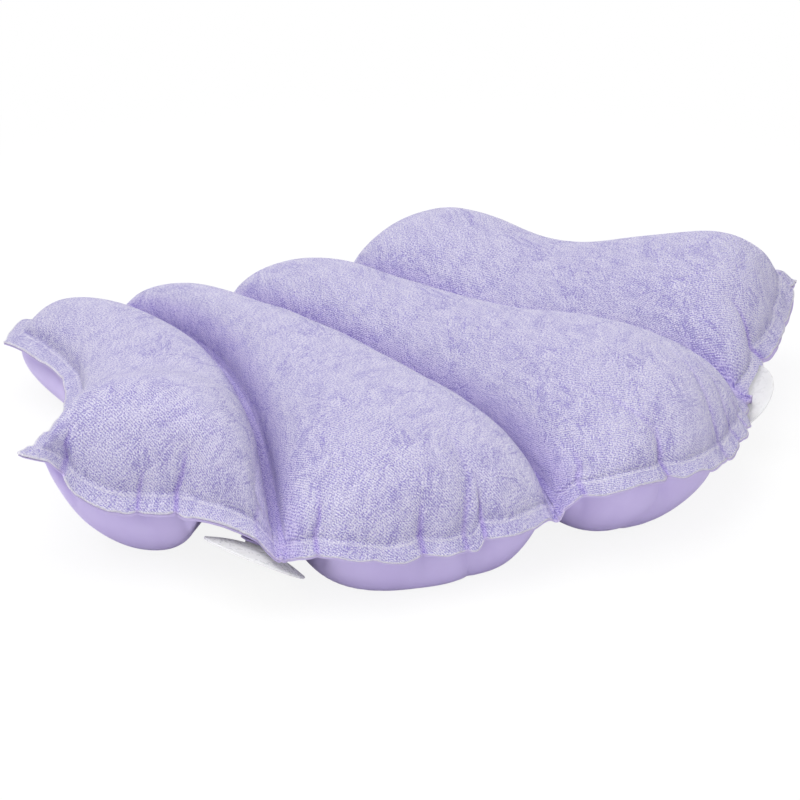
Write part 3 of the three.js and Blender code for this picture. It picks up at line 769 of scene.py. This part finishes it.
def mix_colour(nodes, links, share, first, second, blend="MIX"):
    """One colour turned into another by a share."""
    made = node(nodes, "ShaderNodeMix", data_type="RGBA", blend_type=blend)
    for slot, value in (("Factor", share), ("A", first), ("B", second)):
        feed(links, made.inputs[slot], value)
    return made.outputs["Result"]


def fabric_vector(nodes, links, scale=(1, 1, 1), turn=0):
    """Place on the cloth in metres, across and along, turned and scaled."""
    place = node(nodes, "ShaderNodeCombineXYZ")
    links.new(attribute(nodes, "across"), place.inputs["X"])
    links.new(attribute(nodes, "along"), place.inputs["Y"])
    turned = node(nodes, "ShaderNodeMapping")
    turned.inputs["Rotation"].default_value = (0, 0, turn)
    links.new(place.outputs[0], turned.inputs["Vector"])
    scaled = node(nodes, "ShaderNodeMapping")
    scaled.inputs["Scale"].default_value = scale
    links.new(turned.outputs[0], scaled.inputs["Vector"])
    return scaled.outputs[0]


def noise(nodes, links, vector, scale, detail=2, roughness=.5, distortion=0):
    """Soft random values from about 0 to 1."""
    made = node(nodes, "ShaderNodeTexNoise",
                inputs={"Scale": scale, "Detail": detail, "Roughness": roughness, "Distortion": distortion})
    links.new(vector, made.inputs["Vector"])
    return made.outputs["Fac"]


def terry_material():
    """Lilac terry: rows of loops, patches where the pile lies another way, a pale weld line and cut edge, and
    shade painted beside the seams and along the folds' creases.
    """
    material, nodes, links, shader = new_material("terry_cloth")
    rows = node(nodes, "ShaderNodeTexWave", "rows",
                inputs={"Scale": WAVE_LENGTH / ROW_PITCH, "Distortion": 3.5,
                        "Detail": 2, "Detail Scale": 1.6})
    links.new(fabric_vector(nodes, links, turn=ROW_TURN), rows.inputs["Vector"])
    looped = fabric_vector(nodes, links, (1, .7, 1), ROW_TURN)
    loops = noise(nodes, links, looped, LOOPS_PER_METRE, detail=3, roughness=.6)
    brushed = fabric_vector(nodes, links, (1, .4, 1), PILE_TURN)
    pile = noise(nodes, links, brushed, 1 / PILE_PATCH, detail=3, roughness=.6, distortion=.6)
    patches = noise(nodes, links, fabric_vector(nodes, links), 1 / PILE_SWELL)
    creased = fabric_vector(nodes, links, (1, .5, 1), PILE_TURN)
    creases = noise(nodes, links, creased, 1 / CREASE_LENGTH, detail=5, roughness=.65, distortion=.8)
    creases = math_node(nodes, links, "ABSOLUTE", math_node(nodes, links, "SUBTRACT", creases, .5))
    creases = math_node(nodes, links, "MULTIPLY", band(nodes, links, creases, 0, .03, 1, 0),
                        band(nodes, links, patches, .36, .56, 0, 1))
    grain = band(nodes, links, loops, .37, .63, 0, 1)
    height = math_node(nodes, links, "MULTIPLY_ADD", rows.outputs["Fac"], ROW_HEIGHT, grain)
    height = math_node(nodes, links, "MULTIPLY_ADD", creases, CREASE_HEIGHT, height)
    pile = band(nodes, links, pile, .34, .66, 0, 1)
    tone = math_node(nodes, links, "MULTIPLY_ADD", pile, PILE_TONE, height)
    colour = mix_colour(nodes, links, band(nodes, links, tone, .1, 1.55, 0, 1), TERRY_DARK, TERRY_LIGHT)
    cut = attribute(nodes, "cut")
    line = math_node(nodes, links, "ABSOLUTE", math_node(nodes, links, "SUBTRACT", cut, WELD_LINE))
    line = band(nodes, links, line, .0002, .0009, WELD_LINE_PALENESS, 0)
    colour = mix_colour(nodes, links, line, colour, TERRY_PALE)
    edge = band(nodes, links, cut, .0002, .001, CUT_EDGE_PALENESS, 0)
    colour = mix_colour(nodes, links, edge, colour, TERRY_PALE)
    # Shade painted into the terry's colour beside the seams and along the folds' creases
    seam = band(nodes, links, attribute(nodes, "seam"), .001, .012, SEAM_PAINTED_SHADE, 0)
    crease = band(nodes, links, attribute(nodes, "crease"), .08, 1, 0, CREASE_PAINTED_SHADE)
    painted_shade = math_node(nodes, links, "MAXIMUM", seam, crease)
    colour = mix_colour(nodes, links, painted_shade, colour, TERRY_PAINTED_SHADE, "MULTIPLY")
    links.new(colour, shader.inputs["Base Color"])
    bump = node(nodes, "ShaderNodeBump", inputs={"Strength": .7, "Distance": .0007})
    links.new(height, bump.inputs["Height"])
    links.new(bump.outputs[0], shader.inputs["Normal"])
    shader.inputs["Roughness"].default_value = .95
    shader.inputs["Specular IOR Level"].default_value = .1
    links.new(band(nodes, links, height, .1, 1.4, .1, 1), shader.inputs["Sheen Weight"])
    shader.inputs["Sheen Roughness"].default_value = .33
    shader.inputs["Sheen Tint"].default_value = (1, 1, 1, 1)
    return material


def film_material():
    """Satin violet film, faintly uneven."""
    material, nodes, links, shader = new_material("satin_film")
    place = node(nodes, "ShaderNodeTexCoord").outputs["Object"]
    uneven = noise(nodes, links, place, 60, detail=3, distortion=.4)
    colour = mix_colour(nodes, links, band(nodes, links, uneven, .3, .7, 0, 1), FILM_DEEP, FILM_LIGHT)
    links.new(colour, shader.inputs["Base Color"])
    bump = node(nodes, "ShaderNodeBump", inputs={"Strength": .25, "Distance": .0006})
    links.new(noise(nodes, links, place, 110, detail=3), bump.inputs["Height"])
    links.new(bump.outputs[0], shader.inputs["Normal"])
    shader.inputs["Roughness"].default_value = .42
    shader.inputs["Specular IOR Level"].default_value = .35
    return material


def vinyl_material(name, colour, scatter):
    """Soft moulded vinyl, faintly clouded, with a share of the light scattered inside it."""
    material, nodes, links, shader = new_material(name)
    place = node(nodes, "ShaderNodeTexCoord").outputs["Object"]
    cloud = band(nodes, links, noise(nodes, links, place, 140, detail=3), .3, .7, 0, .2)
    links.new(mix_colour(nodes, links, cloud, colour, VINYL_PALE), shader.inputs["Base Color"])
    smears = noise(nodes, links, place, 400)
    links.new(band(nodes, links, smears, .3, .7, .24, .4), shader.inputs["Roughness"])
    bump = node(nodes, "ShaderNodeBump", inputs={"Strength": .08, "Distance": .0003})
    links.new(noise(nodes, links, place, 500), bump.inputs["Height"])
    links.new(bump.outputs[0], shader.inputs["Normal"])
    shader.inputs["Subsurface Weight"].default_value = scatter
    shader.inputs["Subsurface Radius"].default_value = SCATTER_RADIUS
    shader.inputs["Subsurface Scale"].default_value = 1
    return material


def make_floor():
    """A pale floor that keeps a faint shadow near the pillow and is white to the camera further off."""
    bpy.ops.mesh.primitive_plane_add(size=FLOOR_SIZE)
    floor = bpy.context.object
    floor.name = "floor"
    material, nodes, links, shader = new_material("pale_floor")
    shader.inputs["Base Color"].default_value = (.95, .95, .95, 1)
    shader.inputs["Roughness"].default_value = 1
    shader.inputs["Specular IOR Level"].default_value = 0
    white = node(nodes, "ShaderNodeEmission", inputs={"Color": (1, 1, 1, 1), "Strength": 1})
    length = node(nodes, "ShaderNodeVectorMath", operation="LENGTH")
    links.new(node(nodes, "ShaderNodeTexCoord").outputs["Object"], length.inputs[0])
    far = length.outputs["Value"]
    share = band(nodes, links, far, FLOOR_SHADOW_RADIUS, FLOOR_WHITE_RADIUS, FLOOR_WHITE_SHARE, 1)
    camera_ray = node(nodes, "ShaderNodeLightPath").outputs["Is Camera Ray"]
    seen = math_node(nodes, links, "MULTIPLY", share, camera_ray)
    mixed = node(nodes, "ShaderNodeMixShader")
    links.new(seen, mixed.inputs[0])
    links.new(shader.outputs[0], mixed.inputs[1])
    links.new(white.outputs[0], mixed.inputs[2])
    links.new(mixed.outputs[0], nodes["Material Output"].inputs["Surface"])
    floor.data.materials.append(material)


def make_light():
    """A white room around, a broad soft box over the left and a weak one over the front left."""
    world = bpy.data.worlds.new("studio")
    bpy.context.scene.world = world
    world.use_nodes = True
    nodes, links = world.node_tree.nodes, world.node_tree.links
    background = nodes["Background"]
    background.inputs["Color"].default_value = (1, 1, 1, 1)
    seen = node(nodes, "ShaderNodeLightPath").outputs["Is Camera Ray"]
    links.new(band(nodes, links, seen, 0, 1, WORLD_STRENGTH, 1), background.inputs["Strength"])
    soft_box("soft_box_front", **FRONT_LAMP)
    soft_box("soft_box_top", **TOP_LAMP)


def soft_box(name, place, size, energy):
    """A square lamp that faces the origin."""
    lamp = bpy.data.lights.new(name, "AREA")
    lamp.shape = "RECTANGLE"
    lamp.size = lamp.size_y = size
    lamp.energy = energy
    obj = bpy.data.objects.new(name, lamp)
    obj.location = place
    obj.rotation_euler = (-obj.location).to_track_quat("-Z", "Y").to_euler()
    bpy.context.scene.collection.objects.link(obj)


def make_camera():
    """The view of the photograph."""
    back = Vector((math.sin(CAMERA_AZIMUTH) * math.cos(CAMERA_ELEVATION),
                   -math.cos(CAMERA_AZIMUTH) * math.cos(CAMERA_ELEVATION),
                   math.sin(CAMERA_ELEVATION)))
    data = bpy.data.cameras.new("camera")
    data.lens = CAMERA_LENS
    data.shift_x, data.shift_y = CAMERA_SHIFT
    camera = bpy.data.objects.new("camera", data)
    camera.location = CAMERA_TARGET + back * CAMERA_DISTANCE
    camera.rotation_euler = (-back).to_track_quat("-Z", "Y").to_euler()
    bpy.context.scene.collection.objects.link(camera)
    bpy.context.scene.camera = camera


bpy.context.scene.view_settings.view_transform = "Standard"
make_camera()
make_light()
make_floor()
terry = terry_material()
film = film_material()
clear_vinyl = vinyl_material("clear_vinyl", CUP_COLOUR, CUP_SCATTER)
white_vinyl = vinyl_material("white_vinyl", VALVE_COLOUR, 0)
for number in range(len(SIDES)):
    form = LobeForm(number)
    fold(make_terry(form, terry), number)
    fold(make_film(form, film), number)
for word in ("left", "right"):
    make_cup(word, clear_vinyl)
    frame["nodes"]["cup_tab_" + word].material_slots[0].material = film
for name in ("valve_flange", "valve_stem", "valve_plug", "valve_flap"):
    frame["nodes"][name].material_slots[0].material = white_vinyl
